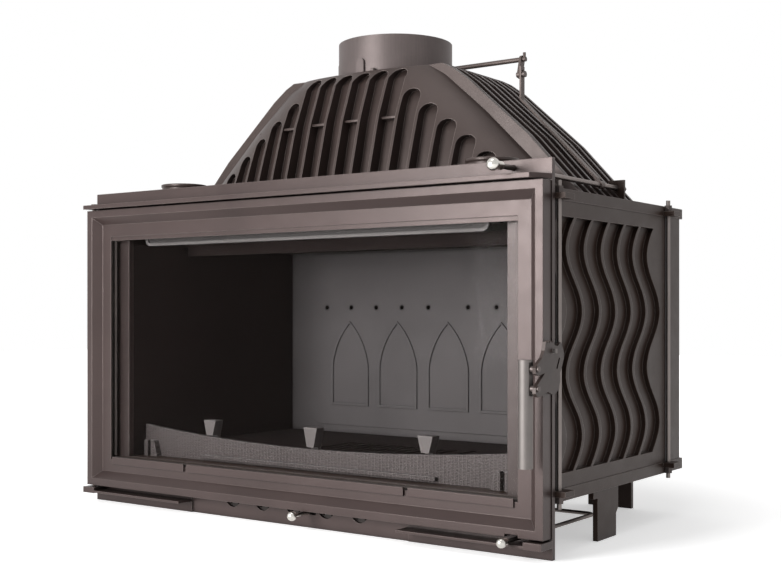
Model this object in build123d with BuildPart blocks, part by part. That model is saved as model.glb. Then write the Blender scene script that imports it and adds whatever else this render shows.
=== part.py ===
# Fireplace insert: framed glass door, ribbed firebox, two-piece hood, flue collar and hand controls.
# Millimetres. X to the right, Y to the back, Z up, Z 0 at the foot of the front frame.
from build123d import *
import os
from math import cos, pi, radians, sin

os.makedirs("parts", exist_ok=True)

# Overall sizes and clearances
body_depth = 469.0
grip_front_reach = 65.0
front_y = (grip_front_reach - body_depth) / 2.0
running_fit = 0.05
free_gap = 0.5

# Front frame
frame_half_width = 458.5
frame_height = 547.5
frame_thickness = 8.0
opening_half_width = 428.0
opening_bottom = 58.0
opening_top = 496.0
foot_panel_half_width = 221.0
foot_panel_sink = 2.5
foot_panel_top = 56.0
air_hole_radius = 17.0
air_hole_pitch = 65.0
air_hole_count = 5
air_hole_z = 34.0
lip_reach = 32.0
lip_bottom = 518.5
lip_thickness = 7.0
lip_end_taper = 18.0
ledge_bottom = 18.0
ledge_thickness = 3.5
ledge_block_width = 28.0
ledge_block_bottom = 17.0
ledge_block_top = 27.0

# Firebox shell
body_half_width = 455.0
wall_outer = 454.0
wall_inner = 440.0
ring_thickness = 10.0
ring_opening = 384.0
ring_opening_bottom = 82.0
ring_opening_top = 474.0
floor_bottom = 75.5
floor_thickness = 6.0
lower_rail_top = 93.0
upper_rail_bottom = 492.0
roof_bottom = 500.4
roof_top = 508.4
side_wall_end = 392.0
back_inner = 461.0
relief_depth = 8.0
pocket_bottom = 114.0
pocket_top = 470.0
pocket_start = 18.0
wave_first = 22.5
wave_pitch = 55.5
wave_swing = 25.0
wave_length = 176.0
wave_fins = 7
fin_width = 7.5

# Tie rods and legs
tie_x = 458.0
tie_radius = 3.4
tie_front = 21.0
tie_rear = 402.0
lug_reach = 474.0
lug_half_length = 14.0
lug_thickness = 8.0
nut_radius = 6.5
nut_height = 10.0
tie_tip = 8.0
leg_thickness = 8.0
side_leg_outer = 449.0
side_leg_front = 160.0
side_leg_rear = 230.0
rear_leg_inner = 286.0
rear_leg_outer = 367.0

# Door
door_half_width = 457.0
door_bottom = 30.0
door_top = 516.0
door_front = -24.0
door_back = -1.0
outer_band = 12.0
bevel_run = 13.0
bevel_drop = 14.0
inner_band = 21.5
inner_band_thickness = 3.5
glass_overlap = 7.5
glass_thickness = 4.0
glass_edge_gap = 0.8
gasket_thickness = 1.5
retainer_width = 18.0
retainer_thickness = 2.0
hinge_x = -449.0
hinge_depth = -14.0
hinge_pin_radius = 4.0
hinge_engagement = 12.0
hinge_edge_relief = 6.0
rope_inner = 433.0
rope_width = 7.0
rope_depth = 4.0
door_relief_half = 10.5
door_relief_height = 4.0

# Handle
lever_inner = 461.2
lever_thickness = 5.0
pivot_depth = -12.0
pivot_z = 285.0
pivot_radius = 4.0
pivot_start = 440.0
grip_x = 448.0
grip_depth = -55.0
grip_radius = 10.0
grip_bottom = 130.0
grip_top = 274.0
grip_flat = 8.0

# Hood
hood_joint = 197.0
hood_rear_end = 385.0
hood_top = 743.0
hood_wall = 7.0
rib_depth = 14.0
rib_width = 6.5
rib_pitch = 27.0
rib_count = 7
front_fin_pitch = 35.5
front_fin_width = 6.5
front_fin_side = 9
band_width = 19.0
band_thickness = 7.0
collar_radius = 100.0
collar_wall = 6.0
collar_depth = 281.0
collar_top = 806.0
collar_stop_radius = 100.8
collar_stop_top = 769.0

# Damper
damper_x = 398.0
damper_z = 536.5
damper_rod_radius = 4.0
axle_z = 752.0
axle_radius = 4.0
axle_end = 262.0
crank_length = 27.0
crank_lean = 15.0
crank_inner = 252.5
crank_thickness = 4.0
bolt_radius = 2.5
link_inner = 257.0
link_thickness = 3.0
link_width = 12.0
disc_thickness = 3.0

# Air controls
shutter_x = 32.0
shutter_z = 24.0
shutter_stem = 3.0
shutter_travel = 10.0
throttle_x = 408.0
throttle_z = 26.5
throttle_radius = 3.0
throttle_travel = 40.0
ash_box_half = 150.0
ash_box_front = 140.0
ash_box_rear = 340.0
ash_box_bottom = 14.0

# Hot-air outlets
spigot_x = 318.0
spigot_depth = 78.0
spigot_radius = 49.0
spigot_wall = 3.0
spigot_top = 562.0


def upright(depth):
    return Plane(origin=(0, front_y + depth, 0), x_dir=(1, 0, 0), z_dir=(0, -1, 0))


def side_on(x):
    return Plane(origin=(x, front_y, 0), x_dir=(0, 1, 0), z_dir=(1, 0, 0))


def level(z):
    return Plane(origin=(0, front_y, z), x_dir=(1, 0, 0), z_dir=(0, 0, 1))


def slab(left, right, near, far, low, high, mode=Mode.ADD):
    with Locations(((left + right) / 2.0, front_y + (near + far) / 2.0, (low + high) / 2.0)):
        Box(right - left, far - near, high - low, mode=mode)


def bar_x(start, end, depth, z, radius, mode=Mode.ADD):
    with Locations(((start + end) / 2.0, front_y + depth, z)):
        Cylinder(radius, abs(end - start), rotation=(0, 90, 0), mode=mode)


def bar_y(x, near, far, z, radius, mode=Mode.ADD):
    with Locations((x, front_y + (near + far) / 2.0, z)):
        Cylinder(radius, far - near, rotation=(90, 0, 0), mode=mode)


def bar_z(x, depth, low, high, radius, mode=Mode.ADD):
    with Locations((x, front_y + depth, (low + high) / 2.0)):
        Cylinder(radius, high - low, mode=mode)


def ball(x, depth, z, radius):
    with Locations((x, front_y + depth, z)):
        Sphere(radius)


# Front frame with the door opening, air holes and rod holes
with BuildPart() as front_frame:
    slab(-frame_half_width, frame_half_width, 0.0, frame_thickness, 0.0, frame_height)
    slab(-opening_half_width, opening_half_width, 0.0, frame_thickness,
         opening_bottom, opening_top, Mode.SUBTRACT)
    slab(-foot_panel_half_width, foot_panel_half_width, 0.0, foot_panel_sink,
         0.0, foot_panel_top, Mode.SUBTRACT)
    with BuildSketch(upright(frame_thickness)):
        with Locations((0.0, air_hole_z)):
            with GridLocations(air_hole_pitch, 1.0, air_hole_count, 1):
                Circle(air_hole_radius)
        with Locations((shutter_x, shutter_z)):
            SlotOverall(2.0 * (shutter_travel + shutter_stem + free_gap), 2.0 * (shutter_stem + free_gap))
        with Locations((throttle_x, throttle_z)):
            Circle(throttle_radius + running_fit)
        with Locations((damper_x, damper_z)):
            Circle(damper_rod_radius + running_fit)
    extrude(amount=frame_thickness, mode=Mode.SUBTRACT)
front_frame.part.label = "front_frame"
export_step(front_frame.part, "parts/front_frame.step")

# Lip along the top of the frame, right end tapered
with BuildPart() as upper_lip:
    with BuildSketch(level(lip_bottom)):
        Polygon(
            (-frame_half_width, 0.0),
            (-frame_half_width, -lip_reach),
            (frame_half_width - lip_end_taper, -lip_reach),
            (frame_half_width, 0.0),
            align=None,
        )
    extrude(amount=lip_thickness)
    bar_z(hinge_x, hinge_depth, lip_bottom, lip_bottom + lip_thickness, hinge_pin_radius, Mode.SUBTRACT)
upper_lip.part.label = "upper_lip"
export_step(upper_lip.part, "parts/upper_lip.step")

# Right hearth ledge and its end block
with BuildPart() as ledge_right:
    slab(foot_panel_half_width, frame_half_width, -lip_reach, 0.0, ledge_bottom, ledge_bottom + ledge_thickness)
    slab(frame_half_width - ledge_block_width, frame_half_width, -lip_reach, 0.0,
         ledge_block_bottom, ledge_block_top)
ledge_right.part.label = "ledge_right"
export_step(ledge_right.part, "parts/ledge_right.step")

# Left hearth ledge with the lower hinge block
with BuildPart() as ledge_left:
    add(mirror(ledge_right.part, about=Plane.YZ))
    bar_z(hinge_x, hinge_depth, ledge_block_bottom, ledge_block_top, hinge_pin_radius, Mode.SUBTRACT)
ledge_left.part.label = "ledge_left"
export_step(ledge_left.part, "parts/ledge_left.step")

# Hinge pins standing in the lip and the ledge block
with BuildPart() as hinge_pins:
    bar_z(hinge_x, hinge_depth, door_top - hinge_engagement, lip_bottom + lip_thickness, hinge_pin_radius)
    bar_z(hinge_x, hinge_depth, lip_bottom + lip_thickness, lip_bottom + lip_thickness + 3.0, hinge_pin_radius + 2.0)
    bar_z(hinge_x, hinge_depth, ledge_block_bottom, door_bottom + hinge_engagement, hinge_pin_radius)
hinge_pins.part.label = "hinge_pins"
export_step(hinge_pins.part, "parts/hinge_pins.step")

# Inner ring behind the frame
ring_back = frame_thickness + ring_thickness
with BuildPart() as firebox_front:
    slab(-wall_inner, wall_inner, frame_thickness, ring_back, floor_bottom + floor_thickness, roof_bottom)
    slab(-ring_opening, ring_opening, frame_thickness, ring_back,
         ring_opening_bottom, ring_opening_top, Mode.SUBTRACT)
firebox_front.part.label = "firebox_front"
export_step(firebox_front.part, "parts/firebox_front.step")


def wave_points(centre):
    steps = 17
    points = []
    for step in range(steps):
        z = pocket_bottom + (pocket_top - pocket_bottom) * step / (steps - 1)
        points.append((centre + wave_swing * sin(2.0 * pi * (z - pocket_top) / wave_length), z))
    return points


# Right side wall with pockets between wavy fins
with BuildPart() as side_wall_right:
    slab(wall_inner, wall_outer, frame_thickness, side_wall_end, lower_rail_top, upper_rail_bottom)
    with BuildSketch(side_on(wall_outer - relief_depth)):
        for pocket in range(wave_fins - 1):
            near_edge = wave_points(wave_first + wave_pitch * pocket + fin_width / 2.0)
            far_edge = wave_points(wave_first + wave_pitch * (pocket + 1) - fin_width / 2.0)
            with BuildLine():
                Spline(*near_edge)
                Line(near_edge[-1], far_edge[-1])
                Spline(*far_edge)
                Line(near_edge[0], far_edge[0])
            make_face()
        with Locations(((pocket_start + side_wall_end) / 2.0, (pocket_bottom + pocket_top) / 2.0)):
            Rectangle(side_wall_end - pocket_start, pocket_top - pocket_bottom, mode=Mode.INTERSECT)
    extrude(amount=relief_depth, mode=Mode.SUBTRACT)
side_wall_right.part.label = "side_wall_right"
export_step(side_wall_right.part, "parts/side_wall_right.step")

with BuildPart() as side_wall_left:
    add(mirror(side_wall_right.part, about=Plane.YZ))
side_wall_left.part.label = "side_wall_left"
export_step(side_wall_left.part, "parts/side_wall_left.step")

# Back wall with returns round both rear corners
corner_cut = 10.0
with BuildPart() as back_wall:
    with BuildSketch(level(lower_rail_top)):
        Polygon(
            (-wall_outer, side_wall_end),
            (-wall_outer, body_depth - corner_cut),
            (-wall_outer + corner_cut, body_depth),
            (wall_outer - corner_cut, body_depth),
            (wall_outer, body_depth - corner_cut),
            (wall_outer, side_wall_end),
            (wall_inner, side_wall_end),
            (wall_inner, back_inner),
            (-wall_inner, back_inner),
            (-wall_inner, side_wall_end),
            align=None,
        )
    extrude(amount=upper_rail_bottom - lower_rail_top)
    slab(-wall_inner, wall_inner, back_inner, body_depth, floor_bottom + floor_thickness, roof_bottom)
back_wall.part.label = "back_wall"
export_step(back_wall.part, "parts/back_wall.step")

# Bottom plate with side rails and rod lugs
with BuildPart() as bottom_plate:
    slab(-body_half_width, body_half_width, frame_thickness, body_depth,
         floor_bottom, floor_bottom + floor_thickness)
    for side in (-1, 1):
        rail_mid = side * (body_half_width + wall_inner) / 2.0
        rail_half = (body_half_width - wall_inner) / 2.0
        slab(rail_mid - rail_half, rail_mid + rail_half, frame_thickness, body_depth, floor_bottom, lower_rail_top)
        lug_mid = side * (lug_reach + wall_inner) / 2.0
        lug_half = (lug_reach - wall_inner) / 2.0
        for tie_depth in (tie_front + 1.0, tie_rear):
            slab(lug_mid - lug_half, lug_mid + lug_half, tie_depth - lug_half_length,
                 tie_depth + lug_half_length, lower_rail_top - lug_thickness, lower_rail_top)
    slab(-ash_box_half + 20.0, ash_box_half - 20.0, ash_box_front + 20.0, ash_box_rear - 20.0,
         floor_bottom, floor_bottom + floor_thickness, Mode.SUBTRACT)
    for side in (-1, 1):
        for tie_depth in (tie_front, tie_rear):
            bar_z(side * tie_x, tie_depth, floor_bottom, lower_rail_top, tie_radius, Mode.SUBTRACT)
            slab(side * (body_half_width + 10.0) - 10.0, side * (body_half_width + 10.0) + 10.0,
                 tie_depth - 8.0, tie_depth + 8.0, floor_bottom, lower_rail_top - lug_thickness, Mode.SUBTRACT)
            bar_z(side * tie_x, tie_depth, floor_bottom - nut_height, lower_rail_top - lug_thickness,
                  nut_radius + free_gap, Mode.SUBTRACT)
bottom_plate.part.label = "bottom_plate"
export_step(bottom_plate.part, "parts/bottom_plate.step")

# Top plate with side rails, rod lugs, smoke opening and outlet holes
with BuildPart() as top_plate:
    slab(-body_half_width, body_half_width, frame_thickness, body_depth, roof_bottom, roof_top)
    for side in (-1, 1):
        rail_mid = side * (body_half_width + wall_inner) / 2.0
        rail_half = (body_half_width - wall_inner) / 2.0
        slab(rail_mid - rail_half, rail_mid + rail_half, frame_thickness, body_depth, upper_rail_bottom, roof_top)
        lug_mid = side * (lug_reach + wall_inner) / 2.0
        lug_half = (lug_reach - wall_inner) / 2.0
        for tie_depth in (tie_front + 1.0, tie_rear):
            slab(lug_mid - lug_half, lug_mid + lug_half, tie_depth - lug_half_length,
                 tie_depth + lug_half_length, upper_rail_bottom, upper_rail_bottom + lug_thickness)
    slab(-290.0, 290.0, 158.0, 365.0, roof_bottom, roof_top, Mode.SUBTRACT)
    for side in (-1, 1):
        bar_z(side * spigot_x, spigot_depth, roof_bottom, roof_top, spigot_radius - spigot_wall, Mode.SUBTRACT)
        for tie_depth in (tie_front, tie_rear):
            bar_z(side * tie_x, tie_depth, upper_rail_bottom, roof_top, tie_radius, Mode.SUBTRACT)
            bar_z(side * tie_x, tie_depth, upper_rail_bottom + lug_thickness, roof_top,
                  nut_radius + free_gap, Mode.SUBTRACT)
top_plate.part.label = "top_plate"
export_step(top_plate.part, "parts/top_plate.step")

# Four tie rods and their nuts
with BuildPart() as tie_rods:
    for side in (-1, 1):
        for tie_depth in (tie_front, tie_rear):
            bar_z(side * tie_x, tie_depth, lower_rail_top - lug_thickness - nut_height - tie_tip,
                  upper_rail_bottom + lug_thickness + nut_height + tie_tip, tie_radius)
tie_rods.part.label = "tie_rods"
export_step(tie_rods.part, "parts/tie_rods.step")

with BuildPart() as tie_rod_nuts:
    for nut_base in (lower_rail_top - lug_thickness - nut_height, upper_rail_bottom + lug_thickness):
        with BuildSketch(level(nut_base)):
            with Locations((0.0, (tie_front + tie_rear) / 2.0)):
                with GridLocations(2.0 * tie_x, tie_rear - tie_front, 2, 2):
                    RegularPolygon(nut_radius, 6)
                    Circle(tie_radius, mode=Mode.SUBTRACT)
        extrude(amount=nut_height)
tie_rod_nuts.part.label = "tie_rod_nuts"
export_step(tie_rod_nuts.part, "parts/tie_rod_nuts.step")

# Legs under the sides and the back
leg_step = 7.0
with BuildPart() as side_legs:
    for plane_x in (side_leg_outer - leg_thickness, -side_leg_outer):
        with BuildSketch(side_on(plane_x)):
            Polygon(
                (side_leg_front, 0.0),
                (side_leg_rear - leg_step, 0.0),
                (side_leg_rear - leg_step, floor_bottom * 0.45),
                (side_leg_rear, floor_bottom * 0.55),
                (side_leg_rear, floor_bottom),
                (side_leg_front - 2.0 * leg_step, floor_bottom),
                (side_leg_front - 2.0 * leg_step, floor_bottom - 12.0),
                (side_leg_front, floor_bottom - 12.0),
                align=None,
            )
        extrude(amount=leg_thickness)
side_legs.part.label = "side_legs"
export_step(side_legs.part, "parts/side_legs.step")

with BuildPart() as rear_legs:
    for side in (-1, 1):
        middle = side * (rear_leg_inner + rear_leg_outer) / 2.0
        half = (rear_leg_outer - rear_leg_inner) / 2.0
        slab(middle - half, middle + half, back_inner, body_depth, 0.0, floor_bottom)
rear_legs.part.label = "rear_legs"
export_step(rear_legs.part, "parts/rear_legs.step")

# Fireback: plate, raised panel with round shoulders, shelf, ten air holes
liner_top = 456.0
hearth_top = 95.0
fireback_front = 452.0
fireback_plate = 455.0
panel_half = 330.0
panel_bottom = 110.0
panel_top = 452.0
jet_radius = 3.5
jet_z = 345.0
jet_first = 44.6
jet_pitch = 61.4
with BuildPart() as fireback_body:
    slab(-ring_opening, ring_opening, fireback_plate, back_inner, floor_bottom + floor_thickness, liner_top)
    with BuildSketch(upright(fireback_plate)):
        with Locations((0.0, (panel_bottom + panel_top) / 2.0)):
            RectangleRounded(2.0 * panel_half, panel_top - panel_bottom, 22.0)
    extrude(amount=fireback_plate - fireback_front)
    for side in (-1, 1):
        for jet in range(5):
            bar_y(side * (jet_first + jet_pitch * jet), fireback_front, back_inner, jet_z, jet_radius, Mode.SUBTRACT)
# Raised line work on the fireback: a border and a row of pointed arches
line_width = 4.5
line_height = 2.5
arch_pitch = 116.0
arch_half = 46.0
arch_foot = 150.0
arch_spring = 230.0
arch_point = 318.0
with BuildPart() as fireback:
    add(fireback_body.part)
    with BuildSketch(upright(fireback_front)):
        for arch in range(5):
            centre = arch_pitch * (arch - 2)
            for inset in (0.0, line_width):
                with BuildLine():
                    Line((centre - arch_half + inset, arch_foot + inset), (centre - arch_half + inset, arch_spring))
                    ThreePointArc(
                        (centre - arch_half + inset, arch_spring),
                        (centre - (arch_half - inset) * 0.66, arch_spring + (arch_point - arch_spring - inset) * 0.55),
                        (centre, arch_point - inset),
                    )
                    ThreePointArc(
                        (centre, arch_point - inset),
                        (centre + (arch_half - inset) * 0.66, arch_spring + (arch_point - arch_spring - inset) * 0.55),
                        (centre + arch_half - inset, arch_spring),
                    )
                    Line((centre + arch_half - inset, arch_spring), (centre + arch_half - inset, arch_foot + inset))
                    Line((centre + arch_half - inset, arch_foot + inset), (centre - arch_half + inset, arch_foot + inset))
                make_face(mode=Mode.ADD if inset == 0.0 else Mode.SUBTRACT)
    extrude(amount=line_height)
fireback.part.label = "fireback"
export_step(fireback.part, "parts/fireback.step")

# Side liners inside the firebox
liner_thickness = 6.0
with BuildPart() as side_liners:
    for side in (-1, 1):
        middle = side * (ring_opening + liner_thickness / 2.0)
        slab(middle - liner_thickness / 2.0, middle + liner_thickness / 2.0, ring_back, back_inner,
             floor_bottom + floor_thickness, liner_top)
side_liners.part.label = "side_liners"
export_step(side_liners.part, "parts/side_liners.step")

# Hearth plate and grate
hearth_front = 62.0
grate_half = 138.0
grate_front = 152.0
grate_rear = 328.0
with BuildPart() as hearth_plate:
    slab(-ring_opening, ring_opening, hearth_front, fireback_plate, floor_bottom + floor_thickness, hearth_top)
    slab(-grate_half, grate_half, grate_front, grate_rear, floor_bottom + floor_thickness + 4.0, hearth_top,
         Mode.SUBTRACT)
    slab(-grate_half + 8.0, grate_half - 8.0, grate_front + 8.0, grate_rear - 8.0,
         floor_bottom + floor_thickness, hearth_top, Mode.SUBTRACT)
hearth_plate.part.label = "hearth_plate"
export_step(hearth_plate.part, "parts/hearth_plate.step")

with BuildPart() as grate:
    slab(-grate_half + free_gap, grate_half - free_gap, grate_front + free_gap, grate_rear - free_gap,
         floor_bottom + floor_thickness + 4.0, hearth_top + 2.0)
    with BuildSketch(level(hearth_top + 2.0)):
        with Locations((0.0, (grate_front + grate_rear) / 2.0)):
            with GridLocations(22.0, 1.0, 11, 1):
                SlotOverall(144.0, 11.0, rotation=90)
    extrude(amount=-(hearth_top - floor_bottom - floor_thickness), mode=Mode.SUBTRACT)
grate.part.label = "grate"
export_step(grate.part, "parts/grate.step")

# Ash box under the floor, with its pan
box_wall = 4.0
inlet_front = 205.0
inlet_rear = 261.0
inlet_bottom = 20.0
inlet_top = 46.0
with BuildPart() as ash_box:
    slab(-ash_box_half, ash_box_half, ash_box_front, ash_box_rear, ash_box_bottom, floor_bottom)
    slab(-ash_box_half + box_wall, ash_box_half - box_wall, ash_box_front + box_wall, ash_box_rear - box_wall,
         ash_box_bottom + box_wall, floor_bottom, Mode.SUBTRACT)
    slab(ash_box_half - box_wall, ash_box_half, inlet_front, inlet_rear, inlet_bottom, inlet_top, Mode.SUBTRACT)
ash_box.part.label = "ash_box"
export_step(ash_box.part, "parts/ash_box.step")

pan_wall = 2.0
pan_half = 125.0
with BuildPart() as ash_pan:
    slab(-pan_half, pan_half, grate_front + 10.0, grate_rear - 10.0, ash_box_bottom + box_wall, 62.0)
    slab(-pan_half + pan_wall, pan_half - pan_wall, grate_front + 10.0 + pan_wall, grate_rear - 10.0 - pan_wall,
         ash_box_bottom + box_wall + pan_wall, 62.0, Mode.SUBTRACT)
ash_pan.part.label = "ash_pan"
export_step(ash_pan.part, "parts/ash_pan.step")

# Fender with a hollow top edge
fender_half = 382.0
fender_front = 46.0
fender_back = 54.0
fender_end_top = 136.0
fender_mid_top = 116.0
fender_foot = floor_bottom + floor_thickness
fender_bar_half = 243.0
with BuildPart() as fender:
    with BuildSketch(upright(fender_back)):
        with BuildLine():
            Line((-fender_half, fender_foot), (fender_half, fender_foot))
            Line((fender_half, fender_foot), (fender_half, fender_end_top))
            ThreePointArc((fender_half, fender_end_top), (0.0, fender_mid_top), (-fender_half, fender_end_top))
            Line((-fender_half, fender_end_top), (-fender_half, fender_foot))
        make_face()
    extrude(amount=fender_back - fender_front)
    with BuildSketch(upright(fender_front)):
        with Locations((0.0, 88.5)):
            SlotOverall(2.0 * fender_bar_half, 6.5)
    extrude(amount=8.0)
    for side in (-1, 1):
        with BuildSketch(upright(fender_front)):
            Polygon(
                (side * 341.0, fender_foot),
                (side * 373.0, fender_foot),
                (side * 373.0, 109.0),
                (side * 349.0, 109.0),
                align=None,
            )
        extrude(amount=12.0)
        slab(side * 361.0 - 4.0, side * 361.0 + 4.0, fender_front - 12.0, fender_front - 4.0,
             fender_foot, 109.0, Mode.SUBTRACT)
fender.part.label = "fender"
export_step(fender.part, "parts/fender.step")

# Three wedge-shaped log stops hooked behind the fender
stop_x = 222.0
stop_top = 151.0
stop_top_width = 27.0
stop_foot_width = 14.0
with BuildPart() as log_stops:
    for place in (-1, 0, 1):
        middle = place * stop_x
        foot_z = fender_mid_top + 6.0 * abs(place) + 3.5
        with BuildSketch(upright(fender_back + 8.0)):
            Polygon(
                (middle - stop_foot_width / 2.0, foot_z),
                (middle + stop_foot_width / 2.0, foot_z),
                (middle + stop_top_width / 2.0, stop_top),
                (middle - stop_top_width / 2.0, stop_top),
                align=None,
            )
        extrude(amount=fender_back + 8.0 - fender_front + 3.0)
        slab(middle - stop_foot_width / 2.0, middle + stop_foot_width / 2.0, fender_back, fender_back + 8.0,
             hearth_top, foot_z + 2.0)
log_stops.part.label = "log_stops"
export_step(log_stops.part, "parts/log_stops.step")

# Smoke baffle on the liner tops, with a turned-down front lip
baffle_front = 150.0
with BuildPart() as smoke_baffle:
    slab(-ring_opening - 4.0, ring_opening + 4.0, baffle_front, back_inner, liner_top, liner_top + 6.0)
    slab(-ring_opening + 2.0, ring_opening - 2.0, baffle_front, baffle_front + 6.0, 440.0, liner_top)
smoke_baffle.part.label = "smoke_baffle"
export_step(smoke_baffle.part, "parts/smoke_baffle.step")

# Air-wash deflector behind the ring, beaded along its edge
deflector_half = 350.0
deflector_bottom = 452.0
bead = 5.5
with BuildPart() as airwash_deflector:
    with BuildSketch(upright(ring_back + 3.0)):
        with Locations((0.0, (deflector_bottom + 490.0) / 2.0)):
            RectangleRounded(2.0 * deflector_half, 490.0 - deflector_bottom, 12.0)
    extrude(amount=3.0)
    with BuildSketch(upright(ring_back + 3.0)):
        with Locations((0.0, (deflector_bottom + 490.0) / 2.0)):
            RectangleRounded(2.0 * deflector_half, 490.0 - deflector_bottom, 12.0)
            RectangleRounded(2.0 * (deflector_half - bead), 490.0 - deflector_bottom - 2.0 * bead, 7.0,
                             mode=Mode.SUBTRACT)
        with Locations((0.0, (ring_opening_top - 1.0 + 520.0) / 2.0)):
            Rectangle(2.0 * body_half_width, 520.0 - ring_opening_top + 1.0, mode=Mode.SUBTRACT)
    extrude(amount=6.0)
airwash_deflector.part.label = "airwash_deflector"
export_step(airwash_deflector.part, "parts/airwash_deflector.step")

# Second bar behind the deflector, hung from the roof
with BuildPart() as smoke_bar:
    slab(-343.0, 343.0, 58.0, 66.0, 466.0, 478.0)
    for place in (-250.0, 250.0):
        slab(place - 12.0, place + 12.0, 59.0, 65.0, 478.0, roof_bottom)
smoke_bar.part.label = "smoke_bar"
export_step(smoke_bar.part, "parts/smoke_bar.step")


# Front casting of the hood: half cone with upright fins and an arched band at the joint
def half_oval(z, wide, deep, near=0.0):
    with BuildSketch(Plane.XY.offset(z)) as oval:
        with Locations((0.0, front_y + hood_joint)):
            Ellipse(wide, deep)
            with Locations((0.0, deep)):
                Rectangle(2.0 * wide + 2.0, 2.0 * deep, mode=Mode.SUBTRACT)
    return oval.sketch


envelope_levels = (
    (roof_top, 413.0, 105.0),
    (566.0, 358.0, 95.0),
    (656.0, 266.0, 72.0),
    (722.0, 190.0, 47.0),
    (hood_top, 158.0, 24.0),
)
core_levels = (
    (roof_top, 412.0, 70.0),
    (566.0, 357.0, 62.0),
    (656.0, 265.0, 42.0),
    (722.0, 189.0, 27.0),
    (hood_top, 157.0, 20.0),
)
hollow_levels = (
    (roof_top, 398.0, 60.0),
    (566.0, 342.0, 52.0),
    (656.0, 250.0, 33.0),
    (722.0, 172.0, 17.0),
    (734.0, 155.0, 11.0),
)


def oval_cone(levels):
    return loft([half_oval(*row).faces()[0] for row in levels], ruled=True)


arch_outline = (
    (-415.0, roof_top),
    (-376.0, 549.0),
    (-316.0, 614.0),
    (-242.0, 680.0),
    (-204.0, 714.0),
    (-176.0, 734.0),
    (-158.0, hood_top),
    (158.0, hood_top),
    (176.0, 734.0),
    (204.0, 714.0),
    (242.0, 680.0),
    (316.0, 614.0),
    (376.0, 549.0),
    (415.0, roof_top),
)

envelope = oval_cone(envelope_levels)
core = oval_cone(core_levels)
hollow = oval_cone(hollow_levels)
with BuildPart(mode=Mode.PRIVATE) as front_fins:
    for fin in range(-front_fin_side, front_fin_side + 1):
        slab(front_fin_pitch * fin - front_fin_width / 2.0, front_fin_pitch * fin + front_fin_width / 2.0,
             hood_joint - 110.0, hood_joint, roof_top, hood_top)
with BuildPart() as hood_front:
    add(envelope)
    add(front_fins.part, mode=Mode.INTERSECT)
    add(core)
    with BuildSketch(upright(hood_joint)):
        Polygon(*arch_outline, align=None)
    extrude(amount=band_thickness)
    add(hollow, mode=Mode.SUBTRACT)
    bar_z(0.0, collar_depth, 700.0, hood_top, collar_radius - collar_wall, Mode.SUBTRACT)
hood_front.part.label = "hood_front"
export_step(hood_front.part, "parts/hood_front.step")

# Rear casting of the hood: arched tunnel with cross ribs and a closed back
with BuildPart() as hood_rear:
    with BuildSketch(upright(hood_rear_end)):
        Polygon(*arch_outline, align=None)
        offset(amount=-rib_depth, kind=Kind.INTERSECTION, mode=Mode.REPLACE)
        with Locations((0.0, roof_top + rib_depth / 2.0)):
            Rectangle(2.0 * (415.0 - 2.0 * rib_depth), rib_depth)
        with Locations((0.0, hood_top - rib_depth / 2.0)):
            Rectangle(2.0 * 158.0, rib_depth)
    extrude(amount=hood_rear_end - hood_joint)
    for rib in range(rib_count):
        with BuildSketch(upright(hood_joint + rib_pitch * rib + rib_width)):
            Polygon(*arch_outline, align=None)
        extrude(amount=rib_width)
    with BuildSketch(upright(hood_rear_end)):
        Polygon(*arch_outline, align=None)
    extrude(amount=rib_width)
    with BuildSketch(upright(hood_rear_end - hood_wall - 1.0)):
        Polygon(*arch_outline, align=None)
        offset(amount=-rib_depth - hood_wall, kind=Kind.INTERSECTION, mode=Mode.REPLACE)
        with Locations((0.0, roof_top + (rib_depth + hood_wall) / 2.0)):
            Rectangle(2.0 * (415.0 - 2.2 * (rib_depth + hood_wall)), rib_depth + hood_wall)
    extrude(amount=hood_rear_end - hood_wall - 1.0 - hood_joint, mode=Mode.SUBTRACT)
    bar_z(0.0, collar_depth, 660.0, hood_top, collar_radius - collar_wall, Mode.SUBTRACT)
hood_rear.part.label = "hood_rear"
export_step(hood_rear.part, "parts/hood_rear.step")

# Ear that guides the damper rod on the hood slope
ear_depth = 333.5
ear_thickness = 4.0
slope_rise = (549.0 - roof_top) / (415.0 - 376.0)
ear_low_x = 412.0
ear_high_x = 384.0
with BuildPart() as rod_ear:
    with BuildSketch(upright(ear_depth + ear_thickness)):
        Polygon(
            (ear_low_x, roof_top + (415.0 - ear_low_x) * slope_rise),
            (ear_low_x, 549.0),
            (ear_high_x, 549.0),
            (ear_high_x, roof_top + (415.0 - ear_high_x) * slope_rise),
            align=None,
        )
        with Locations((damper_x, damper_z)):
            Circle(damper_rod_radius + running_fit, mode=Mode.SUBTRACT)
    extrude(amount=ear_thickness)
rod_ear.part.label = "rod_ear"
export_step(rod_ear.part, "parts/rod_ear.step")

# Flue collar with a stop step for the pipe, its front clamp tab and axle holes
collar_bore = collar_radius - collar_wall
with BuildPart() as flue_collar:
    bar_z(0.0, collar_depth, hood_top, collar_top, collar_radius)
    bar_z(0.0, collar_depth, hood_top, collar_stop_top, collar_stop_radius)
    slab(-7.5, 7.5, collar_depth - collar_radius - 5.0, collar_depth - collar_radius + 5.0, hood_top, 760.0)
    bar_y(0.0, collar_depth - collar_radius - 5.0, collar_depth - collar_radius + 5.0, 760.0, 7.5)
    bar_z(0.0, collar_depth, hood_top, collar_top, collar_bore, Mode.SUBTRACT)
    bar_x(-collar_radius - 2.0, collar_radius + 2.0, collar_depth, axle_z, axle_radius + running_fit, Mode.SUBTRACT)
flue_collar.part.label = "flue_collar"
export_step(flue_collar.part, "parts/flue_collar.step")

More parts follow.
